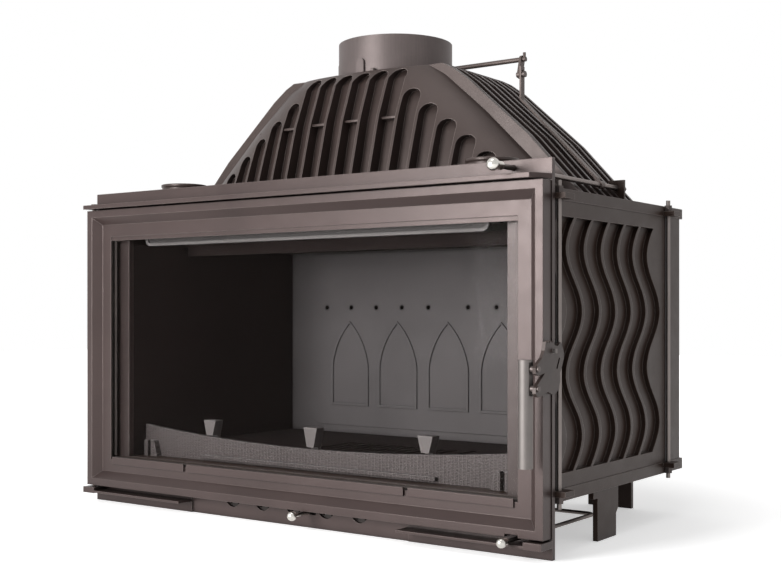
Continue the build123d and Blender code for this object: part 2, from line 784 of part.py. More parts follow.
# Screws that hold the collar on the hood
with BuildPart() as collar_screws:
    for angle in (-128.0, -52.0, -76.0):
        reach = collar_radius + 5.0
        x = reach * cos(radians(angle))
        depth = collar_depth + reach * sin(radians(angle))
        bar_z(x, depth, hood_top, hood_top + 5.0, 4.0)
collar_screws.part.label = "collar_screws"
export_step(collar_screws.part, "parts/collar_screws.step")

# Hot-air outlets left and right
with BuildPart() as hot_air_outlets:
    for side in (-1, 1):
        bar_z(side * spigot_x, spigot_depth, roof_top, spigot_top, spigot_radius)
        bar_z(side * spigot_x, spigot_depth, roof_top, spigot_top, spigot_radius - spigot_wall, Mode.SUBTRACT)
hot_air_outlets.part.label = "hot_air_outlets"
export_step(hot_air_outlets.part, "parts/hot_air_outlets.step")

# Damper plate in the collar with the axle that turns it
disc_radius = collar_bore - 2.0
disc_cut = 56.0
open_angle = 40.3
with BuildPart() as damper_disc:
    bar_z(0.0, collar_depth, axle_z - disc_thickness / 2.0, axle_z + disc_thickness / 2.0, disc_radius)
    slab(-disc_radius, disc_radius, collar_depth - disc_radius - 5.0, collar_depth - disc_cut,
         axle_z - 3.0, axle_z + 3.0, Mode.SUBTRACT)
axle_line = Axis((0, front_y + collar_depth, axle_z), (1, 0, 0))
turned_disc = damper_disc.part.rotate(axle_line, -open_angle)
with BuildPart() as damper_disc:
    add(turned_disc)
    bar_x(-disc_radius, disc_radius, collar_depth, axle_z, axle_radius, Mode.SUBTRACT)
damper_disc.part.label = "damper_disc"
export_step(damper_disc.part, "parts/damper_disc.step")

with BuildPart() as damper_axle:
    bar_x(-collar_radius, axle_end, collar_depth, axle_z, axle_radius)
    bar_z(axle_end - 3.0, collar_depth, axle_z, axle_z + 11.0, 2.5)
damper_axle.part.label = "damper_axle"
export_step(damper_axle.part, "parts/damper_axle.step")

# Crank under the axle and the bolt the link hangs on
bolt_depth = collar_depth - crank_length * sin(radians(crank_lean))
bolt_z = axle_z - crank_length * cos(radians(crank_lean))
with BuildPart() as damper_crank:
    with BuildSketch(side_on(crank_inner)):
        with BuildLine() as crank_line:
            Line((collar_depth, axle_z), (bolt_depth, bolt_z))
        SlotCenterPoint(((collar_depth + bolt_depth) / 2.0, (axle_z + bolt_z) / 2.0), (bolt_depth, bolt_z), 13.0)
    extrude(amount=crank_thickness)
    bar_x(crank_inner, crank_inner + crank_thickness, bolt_depth, bolt_z, bolt_radius, Mode.SUBTRACT)
    bar_x(crank_inner, crank_inner + crank_thickness, collar_depth, axle_z, axle_radius, Mode.SUBTRACT)
damper_crank.part.label = "damper_crank"
export_step(damper_crank.part, "parts/damper_crank.step")

with BuildPart() as crank_bolt:
    bar_x(crank_inner, link_inner + link_thickness + free_gap, bolt_depth, bolt_z, bolt_radius)
    bar_x(link_inner + link_thickness + free_gap, link_inner + link_thickness + 5.0, bolt_depth, bolt_z, 5.0)
    bar_x(crank_inner - 3.0, crank_inner, bolt_depth, bolt_z, 4.5)
crank_bolt.part.label = "crank_bolt"
export_step(crank_bolt.part, "parts/crank_bolt.step")

# Damper rod with its knob, the bent link bar and the stop nut
slot_low = axle_z - crank_length
slot_high = axle_z - crank_length * cos(radians(36.4))
link_foot = 274.0
eye_radius = 6.5
with BuildPart() as damper_rod:
    bar_y(damper_x, -47.0, 360.0, damper_z, damper_rod_radius)
damper_rod.part.label = "damper_rod"
export_step(damper_rod.part, "parts/damper_rod.step")

with BuildPart() as damper_knob:
    ball(damper_x, -55.0, damper_z, 9.0)
    bar_y(damper_x, -48.0, -34.0, damper_z, 6.0)
    bar_y(damper_x, -47.0, -34.0, damper_z, damper_rod_radius, Mode.SUBTRACT)
damper_knob.part.label = "damper_knob"
export_step(damper_knob.part, "parts/damper_knob.step")

with BuildPart() as damper_link:
    with BuildSketch(upright(link_foot + link_width / 2.0)):
        with BuildLine():
            Polyline(
                (link_inner, 739.0),
                (link_inner + link_thickness, 739.0),
                (link_inner + link_thickness, 686.0),
                (395.0, 548.0),
                (396.5, 541.0),
                (392.5, 541.0),
                (391.5, 546.0),
                (link_inner, 684.5),
                (link_inner, 739.0),
            )
        make_face()
        with Locations((damper_x, damper_z)):
            Circle(eye_radius)
            Circle(damper_rod_radius, mode=Mode.SUBTRACT)
    extrude(amount=link_width)
    with BuildSketch(side_on(link_inner)):
        with Locations((link_foot + 0.25, (slot_low + slot_high) / 2.0)):
            SlotOverall(slot_high - slot_low + 6.4, 6.4, rotation=90)
    extrude(amount=link_thickness, mode=Mode.SUBTRACT)
damper_link.part.label = "damper_link"
export_step(damper_link.part, "parts/damper_link.step")

with BuildPart() as rod_nut:
    with BuildSketch(upright(358.0)):
        with Locations((damper_x, damper_z)):
            RegularPolygon(7.0, 6)
            Circle(damper_rod_radius, mode=Mode.SUBTRACT)
    extrude(amount=6.0)
rod_nut.part.label = "rod_nut"
export_step(rod_nut.part, "parts/rod_nut.step")

# Fixed valve seat behind the air holes, slide guides and the sliding shutter
seat_half = 165.0
seat_bottom = 12.0
seat_top = 56.0
seat_thickness = 2.5
slide_half = 152.0
slide_bottom = 17.0
slide_top = 51.0
slide_thickness = 2.5
slot_width = 6.0
slot_height = 26.0
slot_spacing = 16.0
seat_back = frame_thickness + seat_thickness
slide_front = seat_back + 0.4
slide_back = slide_front + slide_thickness


def slot_field():
    with BuildSketch(upright(slide_back)) as field:
        for hole in range(air_hole_count):
            for half in (-1, 1):
                with Locations((air_hole_pitch * (hole - 2) + half * slot_spacing / 2.0, air_hole_z)):
                    SlotOverall(slot_height, slot_width, rotation=90)
    return field.sketch


with BuildPart() as shutter_seat:
    slab(-seat_half, seat_half, frame_thickness, seat_back, seat_bottom, seat_top)
    for low, high in ((seat_bottom, slide_bottom - free_gap), (slide_top + free_gap, seat_top)):
        slab(-seat_half, seat_half, seat_back, slide_back + 0.5, low, high)
    for low, high in ((seat_bottom, slide_bottom + 2.0), (slide_top - 2.0, seat_top)):
        slab(-seat_half, seat_half, slide_back + 0.5, slide_back + 2.5, low, high)
    extrude(slot_field(), amount=slide_back - frame_thickness, mode=Mode.SUBTRACT)
    with BuildSketch(upright(seat_back)):
        with Locations((shutter_x, shutter_z)):
            SlotOverall(2.0 * (shutter_travel + shutter_stem + free_gap), 2.0 * (shutter_stem + free_gap))
    extrude(amount=seat_thickness, mode=Mode.SUBTRACT)
shutter_seat.part.label = "shutter_seat"
export_step(shutter_seat.part, "parts/shutter_seat.step")

with BuildPart() as air_shutter:
    slab(-slide_half, slide_half, slide_front, slide_back, slide_bottom, slide_top)
    extrude(slot_field(), amount=slide_thickness + 1.0, mode=Mode.SUBTRACT)
air_shutter.part.label = "air_shutter"
export_step(air_shutter.part, "parts/air_shutter.step")

with BuildPart() as shutter_knob:
    bar_y(shutter_x, -35.0, slide_front, shutter_z, shutter_stem)
    ball(shutter_x, -40.0, shutter_z, 7.5)
shutter_knob.part.label = "shutter_knob"
export_step(shutter_knob.part, "parts/shutter_knob.step")

# Throttle: bent rod, knob and the slide plate over the ash box inlet
arm_depth = 233.0
plate_inner = ash_box_half + 0.4
plate_outer = plate_inner + 3.0
with BuildPart() as throttle_rod:
    with BuildLine() as throttle_path:
        FilletPolyline(
            (throttle_x, front_y - 42.0, throttle_z),
            (throttle_x, front_y + arm_depth, throttle_z),
            (plate_outer, front_y + arm_depth, throttle_z),
            radius=12.0,
        )
    with BuildSketch(upright(-42.0)):
        with Locations((throttle_x, throttle_z)):
            Circle(throttle_radius)
    sweep(path=throttle_path.line)
throttle_rod.part.label = "throttle_rod"
export_step(throttle_rod.part, "parts/throttle_rod.step")

with BuildPart() as throttle_knob:
    ball(throttle_x, -50.0, throttle_z, 7.0)
    bar_y(throttle_x, -45.0, -38.0, throttle_z, 5.0)
    bar_y(throttle_x, -42.0, -38.0, throttle_z, throttle_radius, Mode.SUBTRACT)
throttle_knob.part.label = "throttle_knob"
export_step(throttle_knob.part, "parts/throttle_knob.step")

plate_bottom = 16.0
plate_top = 50.0
with BuildPart() as throttle_plate:
    slab(plate_inner, plate_outer, 200.0, 266.0, plate_bottom, plate_top)
throttle_plate.part.label = "throttle_plate"
export_step(throttle_plate.part, "parts/throttle_plate.step")

with BuildPart() as throttle_guides:
    for low, high, lip_low, lip_high in (
        (plate_bottom - 2.0, plate_bottom - free_gap, plate_bottom - 2.0, plate_bottom + 3.0),
        (plate_top + free_gap, plate_top + 6.0, plate_top - 3.0, plate_top + 6.0),
    ):
        slab(ash_box_half, plate_outer + 0.4, 150.0, 275.0, low, high)
        slab(plate_outer + 0.4, plate_outer + 2.4, 150.0, 275.0, lip_low, lip_high)
throttle_guides.part.label = "throttle_guides"
export_step(throttle_guides.part, "parts/throttle_guides.step")

# Small catch boss on the edge of the frame, level with the hook
with BuildPart() as latch_boss:
    slab(frame_half_width, frame_half_width + 2.0, 0.0, frame_thickness, 262.0, 276.0)
latch_boss.part.label = "latch_boss"
export_step(latch_boss.part, "parts/latch_boss.step")

# Door frame: stepped and bevelled casting with glass rebate, rope groove and bearings
glass_rebate = inner_band_thickness + gasket_thickness
door_mid = (door_bottom + door_top) / 2.0
bevel_outer_x = door_half_width - outer_band
bevel_inner_x = bevel_outer_x - bevel_run
sight_half = bevel_inner_x - inner_band
border = outer_band + bevel_run + inner_band
band_face = door_front + bevel_drop
band_back = band_face + inner_band_thickness
glass_front = band_back + gasket_thickness
door_height = door_top - door_bottom
glass_half = sight_half + glass_overlap
glass_bottom = door_bottom + border - glass_overlap
glass_top = door_top - border + glass_overlap
with BuildPart() as door_frame:
    slab(-door_half_width, door_half_width, door_front, door_back, door_bottom, door_top)
    with BuildSketch(upright(door_front)):
        with Locations((0.0, door_mid)):
            Rectangle(2.0 * bevel_outer_x, door_height - 2.0 * outer_band)
    with BuildSketch(upright(band_face)):
        with Locations((0.0, door_mid)):
            Rectangle(2.0 * bevel_inner_x, door_height - 2.0 * (outer_band + bevel_run))
    loft(mode=Mode.SUBTRACT)
    slab(-sight_half, sight_half, door_front, door_back, door_bottom + border, door_top - border, Mode.SUBTRACT)
    slab(-glass_half - glass_edge_gap, glass_half + glass_edge_gap, band_back, door_back,
         glass_bottom - glass_edge_gap, glass_top + glass_edge_gap, Mode.SUBTRACT)
    slab(-sight_half, sight_half, band_face + 1.5, band_back, door_top - border - 7.0, door_top - border)
    with BuildSketch(upright(door_back)):
        with Locations((0.0, door_mid)):
            Rectangle(2.0 * (rope_inner + rope_width), door_height - 2.0 * (outer_band + 5.0))
            Rectangle(2.0 * rope_inner, door_height - 2.0 * (outer_band + 5.0 + rope_width), mode=Mode.SUBTRACT)
    extrude(amount=rope_depth, mode=Mode.SUBTRACT)
    bar_z(hinge_x, hinge_depth, door_bottom, door_bottom + hinge_engagement + 1.0,
          hinge_pin_radius + running_fit, Mode.SUBTRACT)
    bar_z(hinge_x, hinge_depth, door_top - hinge_engagement - 1.0, door_top,
          hinge_pin_radius + running_fit, Mode.SUBTRACT)
    bar_x(pivot_start - free_gap, door_half_width, pivot_depth, pivot_z, pivot_radius + running_fit, Mode.SUBTRACT)
    slab(throttle_x - door_relief_half, throttle_x + door_relief_half, door_front, door_back,
         door_bottom, door_bottom + door_relief_height, Mode.SUBTRACT)
    with BuildSketch(level(door_bottom)):
        Polygon(
            (-door_half_width, door_back),
            (-door_half_width, door_back - hinge_edge_relief),
            (-door_half_width + hinge_edge_relief, door_back),
            align=None,
        )
    extrude(amount=door_height, mode=Mode.SUBTRACT)
door_frame.part.label = "door_frame"
export_step(door_frame.part, "parts/door_frame.step")

with BuildPart() as door_glass:
    slab(-glass_half, glass_half, glass_front, door_back, glass_bottom, glass_top)
door_glass.part.label = "door_glass"
export_step(door_glass.part, "parts/door_glass.step")

with BuildPart() as glass_gasket:
    slab(-glass_half, glass_half, band_back, glass_front, glass_bottom, glass_top)
    slab(-sight_half - 1.0, sight_half + 1.0, band_back, glass_front, glass_bottom + glass_overlap - 1.0,
         glass_top - glass_overlap + 1.0, Mode.SUBTRACT)
glass_gasket.part.label = "glass_gasket"
export_step(glass_gasket.part, "parts/glass_gasket.step")

with BuildPart() as door_rope:
    with BuildSketch(upright(door_back + 0.6)):
        with Locations((0.0, door_mid)):
            Rectangle(2.0 * (rope_inner + rope_width), door_height - 2.0 * (outer_band + 5.0))
            Rectangle(2.0 * rope_inner, door_height - 2.0 * (outer_band + 5.0 + rope_width), mode=Mode.SUBTRACT)
    extrude(amount=rope_depth + 0.6)
door_rope.part.label = "door_rope"
export_step(door_rope.part, "parts/door_rope.step")

# Strips that hold the glass, and their screws
keep_outer = glass_half + 6.5
keep_inner = keep_outer - retainer_width
keep_bottom = glass_bottom - 6.5
keep_top = glass_top + 6.5
keep_back = door_back + retainer_thickness
screw_line = glass_half + 3.5
with BuildPart() as glass_retainers:
    for side in (-1, 1):
        middle = side * (keep_outer + keep_inner) / 2.0
        slab(middle - retainer_width / 2.0, middle + retainer_width / 2.0, door_back, keep_back,
             glass_bottom + 14.0, glass_top - 14.0)
    slab(-keep_outer, keep_outer, door_back, keep_back, keep_bottom, keep_bottom + retainer_width)
    slab(-keep_outer, keep_outer, door_back, keep_back, keep_top - retainer_width, keep_top)
    for side in (-1, 1):
        for z in (door_mid - 150.0, door_mid, door_mid + 150.0):
            bar_y(side * screw_line, door_back, keep_back, z, 1.8, Mode.SUBTRACT)
glass_retainers.part.label = "glass_retainers"
export_step(glass_retainers.part, "parts/glass_retainers.step")

with BuildPart() as retainer_screws:
    for side in (-1, 1):
        for z in (door_mid - 150.0, door_mid, door_mid + 150.0):
            bar_y(side * screw_line, door_back, keep_back, z, 1.8)
            bar_y(side * screw_line, keep_back, keep_back + 2.0, z, 3.0)
retainer_screws.part.label = "retainer_screws"
export_step(retainer_screws.part, "parts/retainer_screws.step")

# Sill bars at the foot of the glass
sill_top = 81.0
sill_bottom = door_bottom + border - 8.0
with BuildPart() as door_sill_bars:
    slab(-221.0, 221.0, band_face - 4.0, band_face, sill_bottom, sill_top)
    for side in (-1, 1):
        slab(side * 317.0 - 88.0, side * 317.0 + 88.0, band_face - 3.0, band_face, sill_bottom, sill_top)
door_sill_bars.part.label = "door_sill_bars"
export_step(door_sill_bars.part, "parts/door_sill_bars.step")

# Hook plate of the handle with its two arms
arm_screw_z = (262.0, 236.0)
with BuildPart() as handle_lever:
    with BuildSketch(side_on(lever_inner)):
        with BuildLine():
            Polyline(
                (-33.0, 298.0), (-29.5, 295.0), (-26.0, 299.0), (-22.5, 295.5), (-19.0, 299.0),
                (-15.5, 295.5), (-12.0, 298.5), (-7.0, 292.5), (2.0, 291.0), (6.0, 294.5),
                (11.0, 296.0), (15.0, 290.0), (19.5, 282.0), (19.0, 274.0), (13.5, 263.0),
                (8.0, 254.0), (8.5, 244.0), (3.0, 232.0), (-7.0, 226.0), (-16.0, 227.0),
                (-26.0, 231.0), (-41.0, 227.0), (-55.0, 225.0), (-61.0, 230.0), (-60.0, 238.0),
                (-52.0, 244.0), (-38.0, 254.0), (-36.0, 256.0), (-52.0, 253.5), (-60.0, 256.0),
                (-61.0, 264.0), (-54.0, 269.5), (-42.0, 277.0), (-36.0, 286.0), (-33.0, 298.0),
            )
        make_face()
        with Locations((pivot_depth, pivot_z)):
            Circle(pivot_radius, mode=Mode.SUBTRACT)
        with Locations((2.5, 268.0)):
            SlotOverall(17.0, 3.5, rotation=62, mode=Mode.SUBTRACT)
        for z in arm_screw_z:
            with Locations((grip_depth, z)):
                Circle(2.0, mode=Mode.SUBTRACT)
    extrude(amount=lever_thickness)
handle_lever.part.label = "handle_lever"
export_step(handle_lever.part, "parts/handle_lever.step")

with BuildPart() as handle_shaft:
    bar_x(pivot_start, lever_inner + lever_thickness, pivot_depth, pivot_z, pivot_radius)
    bar_x(door_half_width + 0.4, lever_inner, pivot_depth, pivot_z, pivot_radius + 3.0)
    slab(lever_inner + lever_thickness, lever_inner + lever_thickness + 5.0, pivot_depth - 3.0, pivot_depth + 3.0,
         pivot_z - 3.0, pivot_z + 3.0)
handle_shaft.part.label = "handle_shaft"
export_step(handle_shaft.part, "parts/handle_shaft.step")

with BuildPart() as handle_grip:
    bar_z(grip_x, grip_depth, grip_bottom, grip_top, grip_radius)
    slab(grip_x + grip_flat, grip_x + grip_radius + 1.0, grip_depth - 8.0, grip_depth + 8.0,
         arm_screw_z[1] - 9.0, arm_screw_z[0] + 9.0, Mode.SUBTRACT)
    for z in arm_screw_z:
        bar_x(grip_x, grip_x + grip_radius, grip_depth, z, 2.0, Mode.SUBTRACT)
handle_grip.part.label = "handle_grip"
export_step(handle_grip.part, "parts/handle_grip.step")

with BuildPart() as grip_screws:
    for z in arm_screw_z:
        bar_x(grip_x, lever_inner + lever_thickness, grip_depth, z, 2.0)
        bar_x(grip_x + grip_flat, lever_inner, grip_depth, z, 4.5)
        bar_x(lever_inner + lever_thickness, lever_inner + lever_thickness + 2.5, grip_depth, z, 4.0)
grip_screws.part.label = "grip_screws"
export_step(grip_screws.part, "parts/grip_screws.step")
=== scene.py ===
import math
import bpy
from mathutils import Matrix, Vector


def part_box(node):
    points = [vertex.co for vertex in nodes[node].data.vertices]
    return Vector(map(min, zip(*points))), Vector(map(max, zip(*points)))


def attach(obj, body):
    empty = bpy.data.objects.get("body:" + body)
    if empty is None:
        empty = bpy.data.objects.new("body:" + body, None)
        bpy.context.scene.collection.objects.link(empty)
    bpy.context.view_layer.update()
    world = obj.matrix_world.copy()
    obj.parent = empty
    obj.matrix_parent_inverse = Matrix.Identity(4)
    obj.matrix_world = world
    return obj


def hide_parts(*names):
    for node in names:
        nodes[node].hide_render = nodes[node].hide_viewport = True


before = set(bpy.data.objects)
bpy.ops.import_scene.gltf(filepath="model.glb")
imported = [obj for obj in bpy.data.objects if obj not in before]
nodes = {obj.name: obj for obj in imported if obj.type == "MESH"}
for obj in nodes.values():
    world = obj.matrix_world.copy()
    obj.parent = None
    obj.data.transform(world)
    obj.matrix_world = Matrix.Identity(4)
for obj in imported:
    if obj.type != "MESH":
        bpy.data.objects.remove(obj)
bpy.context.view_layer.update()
bpy.ops.object.select_all(action="DESELECT")

FRONT = -0.202

# Gloss of painted iron and sheet, and the shade of its highlights
PAINT_SPECULAR = 0.38
BODY_SPECULAR = 0.26
FIREBACK_SPECULAR = 0.3
SOOT_SPECULAR = 0.15
PAINT_HIGHLIGHT = (1.0, 0.955, 0.94)
EDGE_ROUND = 0.0016

# Air jets across the fireback, painted as dark rounds of shade
JET_START = 0.0446
JET_PITCH = 0.0614
JET_HEIGHT = 0.345
JET_SHADE_RADIUS = 0.0058
JET_FADE = 0.0008
JET_LAST = 0.32

# Pressed face of the fender, in cells for each metre
FENDER_COLUMNS = 150.0
FENDER_ROWS = 230.0

# Studio
FLOOR_SPAN = 14.0
FLOOR_DROP = 0.0005
FLOOR_LIFT = 0.47
FLOOR_NEAR = 0.55
FLOOR_FAR = 1.25
AIR_LIGHT = 0.40


class Flow:
    """A value running through a finish; sums and products add their Math nodes."""

    def __init__(self, finish, socket):
        self.finish = finish
        self.socket = socket

    def _math(self, operation, first, second=None):
        given = [first] if second is None else [first, second]
        return self.finish.node("ShaderNodeMath", {"operation": operation}, dict(enumerate(given)))

    def __add__(self, other):
        return self._math("ADD", self, other)

    def __radd__(self, other):
        return self._math("ADD", other, self)

    def __sub__(self, other):
        return self._math("SUBTRACT", self, other)

    def __rsub__(self, other):
        return self._math("SUBTRACT", other, self)

    def __mul__(self, other):
        return self._math("MULTIPLY", self, other)

    def __gt__(self, other):
        return self._math("GREATER_THAN", self, other)

    def fract(self):
        return self._math("FRACT", self)

    def size(self):
        return self._math("ABSOLUTE", self)


class Finish:
    """One surface finish, built round a single shader."""

    def __init__(self, name, colour, rough, metal=0.0):
        self.material = bpy.data.materials.new(name)
        self.material.use_nodes = True
        self.tree = self.material.node_tree
        self.shader = self.tree.nodes["Principled BSDF"]
        self.shader.inputs["Base Color"].default_value = (*colour, 1.0)
        self.shader.inputs["Roughness"].default_value = rough
        self.shader.inputs["Metallic"].default_value = metal
        self.shader.inputs["Specular IOR Level"].default_value = PAINT_SPECULAR
        self.shader.inputs["Specular Tint"].default_value = (*PAINT_HIGHLIGHT, 1.0)

    def node(self, kind, settings=None, values=None, out=0):
        made = self.tree.nodes.new(kind)
        for key, value in (settings or {}).items():
            if key == "stops":
                ramp = made.color_ramp
                while len(ramp.elements) < len(value):
                    ramp.elements.new(0.5)
                for element, (place, colour) in zip(ramp.elements, value):
                    element.position = place
                    element.color = (*colour, 1.0)
            else:
                setattr(made, key, value)
        for key, value in (values or {}).items():
            if isinstance(value, Flow):
                self.tree.links.new(value.socket, made.inputs[key])
            else:
                made.inputs[key].default_value = value
        return Flow(self, made.outputs[out])

    def place(self):
        return self.node("ShaderNodeTexCoord", out="Object")

    def noise(self, scale, detail=4.0, rough=0.55, out="Fac", where=None):
        values = {"Vector": where or self.place(), "Scale": scale, "Detail": detail, "Roughness": rough}
        return self.node("ShaderNodeTexNoise", None, values, out)

    def ramp(self, value, stops):
        return self.node("ShaderNodeValToRGB", {"stops": stops}, {"Fac": value}, "Color")

    def mix(self, share, first, second):
        return self.node("ShaderNodeMix", {"data_type": "RGBA"}, {0: share, 6: first, 7: second}, 2)

    def into(self, socket, value):
        self.tree.links.new(value.socket, self.shader.inputs[socket])

    def bump(self, height, strength, distance, under=None):
        values = {"Height": height, "Strength": strength, "Distance": distance}
        if under is not None:
            values["Normal"] = under
        return self.node("ShaderNodeBump", None, values, "Normal")

    def edges(self, radius):
        """Rounded normals along the edges, and how far they turn from the flat ones."""
        soft = self.node("ShaderNodeBevel", {"samples": 4}, {"Radius": radius}, "Normal")
        flat = self.node("ShaderNodeNewGeometry", out="Normal")
        same = self.node("ShaderNodeVectorMath", {"operation": "DOT_PRODUCT"}, {0: soft, 1: flat}, "Value")
        return soft, 1.0 - same


def rgba(colour):
    """A colour with full alpha."""
    return (*colour, 1.0)


def casting(name, colour, worn_and_highlight_colour, rough, metal, grain=0.00035, wear_and_highlight=1.0, hollow_shade=0.0, reach=0.02):
    """Sand-cast iron under a thin coat: fine grain, faint clouds, rubbed edges partly lightened as a painted
    highlight, and painted shade in the hollows.
    """
    finish = Finish(name, colour, rough, metal)
    clouds = finish.noise(7.0, 5.0)
    speck = finish.noise(900.0, 2.0, 0.7)
    pits = finish.noise(330.0, 3.0, 0.6)
    dark = tuple(c * 0.80 for c in colour)
    light = tuple(min(1.0, c * 1.16) for c in colour)
    tone = finish.ramp(clouds * 0.7 + speck * 0.3, ((0.30, dark), (0.50, colour), (0.70, light)))
    # Rubbed edges: partly real wear, partly a painted highlight along the edges
    soft, turned = finish.edges(EDGE_ROUND)
    rub_and_highlight = finish.node("ShaderNodeMapRange", None,
                      {"Value": turned * (0.6 + finish.noise(60.0) * 0.8), "From Min": 0.02, "From Max": 0.25,
                       "To Min": 0.0, "To Max": wear_and_highlight}, "Result")
    worn_and_painted_light_tone = finish.mix(rub_and_highlight, tone, rgba(worn_and_highlight_colour))
    # Painted shade: darker in the hollows that ambient occlusion finds
    if hollow_shade > 0.0:
        open_share = finish.node("ShaderNodeAmbientOcclusion", {"samples": 6}, {"Distance": reach}, "AO")
        shade = finish.node("ShaderNodeMapRange", None,
                            {"Value": open_share, "From Min": 0.30, "From Max": 0.85,
                             "To Min": 1.0 - hollow_shade, "To Max": 1.0}, "Result")
        worn_and_painted_light_tone = finish.mix(shade, rgba(tuple(c * 0.12 for c in colour)), worn_and_painted_light_tone)
    finish.into("Base Color", worn_and_painted_light_tone)
    finish.into("Roughness", rough - 0.08 + finish.noise(45.0) * 0.16)
    finish.into("Normal", finish.bump(pits * 0.6 + speck * 0.4, 0.55, grain, soft))
    return finish


def steel(name, colour, rough, scratch_axis=2, metal=1.0):
    """Satin steel with a drawn grain along one axis."""
    finish = Finish(name, colour, rough, metal)
    stretch = [420.0, 420.0, 420.0]
    stretch[scratch_axis] = 14.0
    where = finish.node("ShaderNodeMapping", None, {"Vector": finish.place(), "Scale": stretch}, "Vector")
    drawn = finish.noise(1.0, 3.0, 0.6, where=where)
    stains = finish.noise(38.0, 4.0)
    dark = tuple(c * 0.78 for c in colour)
    finish.into("Base Color", finish.ramp(drawn * 0.55 + stains * 0.45, ((0.30, dark), (0.62, colour))))
    finish.into("Roughness", rough - 0.05 + drawn * 0.14)
    finish.into("Normal", finish.bump(drawn, 0.25, 0.0001))
    return finish


def rolled(name, colour, rough, metal):
    """Painted or oiled sheet: soft clouds, dust and fine orange peel."""
    finish = Finish(name, colour, rough, metal)
    clouds = finish.noise(22.0, 5.0)
    dark = tuple(c * 0.7 for c in colour)
    light = tuple(min(1.0, c * 1.25) for c in colour)
    finish.into("Base Color", finish.ramp(clouds, ((0.32, dark), (0.5, colour), (0.72, light))))
    finish.into("Roughness", rough - 0.07 + finish.noise(90.0) * 0.14)
    finish.into("Normal", finish.bump(finish.noise(520.0, 2.0), 0.35, 0.00015))
    return finish


def stamped_fender():
    """Fender face: rows of small pressed rectangles, each painted darker inside as shade."""
    finish = casting("fender_pressed_iron", (0.070, 0.058, 0.057), (0.26, 0.24, 0.24), 0.5, 0.25)
    split = finish.node("ShaderNodeSeparateXYZ", None, {"Vector": finish.place()}, "X")
    rise = Flow(finish, split.socket.node.outputs["Z"])
    column = (split * FENDER_COLUMNS).fract()
    row = (rise * FENDER_ROWS).fract()
    side = (column - 0.5).size()
    lift = (row - 0.5).size()
    cell = finish.node("ShaderNodeMapRange", None,
                       {"Value": side, "From Min": 0.26, "From Max": 0.36}, "Result")
    line = finish.node("ShaderNodeMapRange", None,
                       {"Value": lift, "From Min": 0.24, "From Max": 0.36}, "Result")
    grid = finish.node("ShaderNodeMath", {"operation": "MAXIMUM"}, {0: cell, 1: line})
    old = finish.shader.inputs["Normal"].links[0].from_socket
    finish.into("Normal", finish.bump(grid, 1.0, 0.0016, Flow(finish, old)))
    # Painted shade: each pressed cell is darker inside, where its hollow lies
    tone = Flow(finish, finish.shader.inputs["Base Color"].links[0].from_socket)
    finish.into("Base Color", finish.mix(grid * 0.6 + 0.4, rgba((0.05, 0.042, 0.04)), tone))
    return finish


def airwash_shade_and_highlight():
    """Air-wash deflector: sheet near black as painted shade of its recess, with a lighter rolled bead round
    its foot as a painted highlight.
    """
    # Painted shade: the sheet's own colour is near black
    finish = casting("airwash_shade_and_highlight", (0.012, 0.010, 0.010), (0.05, 0.045, 0.045), 0.55, 0.1)
    parted = finish.node("ShaderNodeSeparateXYZ", None, {"Vector": finish.place()}, "X")
    depth = Flow(finish, parted.socket.node.outputs["Y"])
    bead_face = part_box("airwash_deflector")[0][1]
    # Painted highlight: the front of the bead round the foot is lighter than the rest
    bead_highlight = finish.node("ShaderNodeMapRange", None,
                       {"Value": depth, "From Min": bead_face + 0.0020, "From Max": bead_face + 0.0035,
                        "To Min": 1.0, "To Max": 0.0}, "Result")
    tone = Flow(finish, finish.shader.inputs["Base Color"].links[0].from_socket)
    finish.into("Base Color", finish.mix(bead_highlight, tone, rgba((0.085, 0.078, 0.076))))
    return finish


def shade_jet_holes(finish):
    """Painted shade of the air jets' holes: dark rounds in a row across the fireback."""
    parted = finish.node("ShaderNodeSeparateXYZ", None, {"Vector": finish.place()}, "X")
    height = Flow(finish, parted.socket.node.outputs["Z"])
    turn = (parted.size() - JET_START + JET_PITCH / 2.0) * (1.0 / JET_PITCH)
    across = (turn.fract() - 0.5) * JET_PITCH
    up = height - JET_HEIGHT
    beyond = parted.size() > JET_LAST
    spread = across * across + up * up + beyond
    hole_shade = finish.node("ShaderNodeMapRange", None,
                        {"Value": spread, "From Min": (JET_SHADE_RADIUS - JET_FADE) ** 2, "From Max": JET_SHADE_RADIUS ** 2},
                        "Result")
    # Painted shade: near-black rounds where the jet holes are
    tone = Flow(finish, finish.shader.inputs["Base Color"].links[0].from_socket)
    finish.into("Base Color", finish.mix(hole_shade, rgba((0.004, 0.003, 0.003)), tone))


def furnace_glass():
    """Clear ceramic glass with the faintest warm tint and a trace of dust."""
    finish = Finish("ceramic_glass", (0.10, 0.08, 0.07), 0.04, 0.0)
    dust = finish.noise(3.0, 6.0)
    finish.into("Alpha", 0.008 + dust * 0.010)
    finish.shader.inputs["IOR"].default_value = 1.5
    return finish


def fibre_rope():
    """Woven glass-fibre sealing rope."""
    finish = Finish("fibre_rope", (0.12, 0.11, 0.10), 0.95, 0.0)
    weave = finish.node("ShaderNodeTexWave", {"wave_type": "BANDS", "bands_direction": "DIAGONAL"},
                        {"Vector": finish.place(), "Scale": 120.0, "Distortion": 2.0}, "Fac")
    finish.into("Base Color", finish.ramp(weave, ((0.2, (0.05, 0.045, 0.04)), (0.8, (0.20, 0.19, 0.17)))))
    finish.into("Normal", finish.bump(weave, 0.7, 0.0006))
    return finish


# The last amount and reach given to each casting set the painted shade in its hollows
front_iron = casting("front_iron", (0.046, 0.031, 0.029), (0.17, 0.14, 0.13),
                     0.36, 0.30, hollow_shade=0.8, reach=0.012)
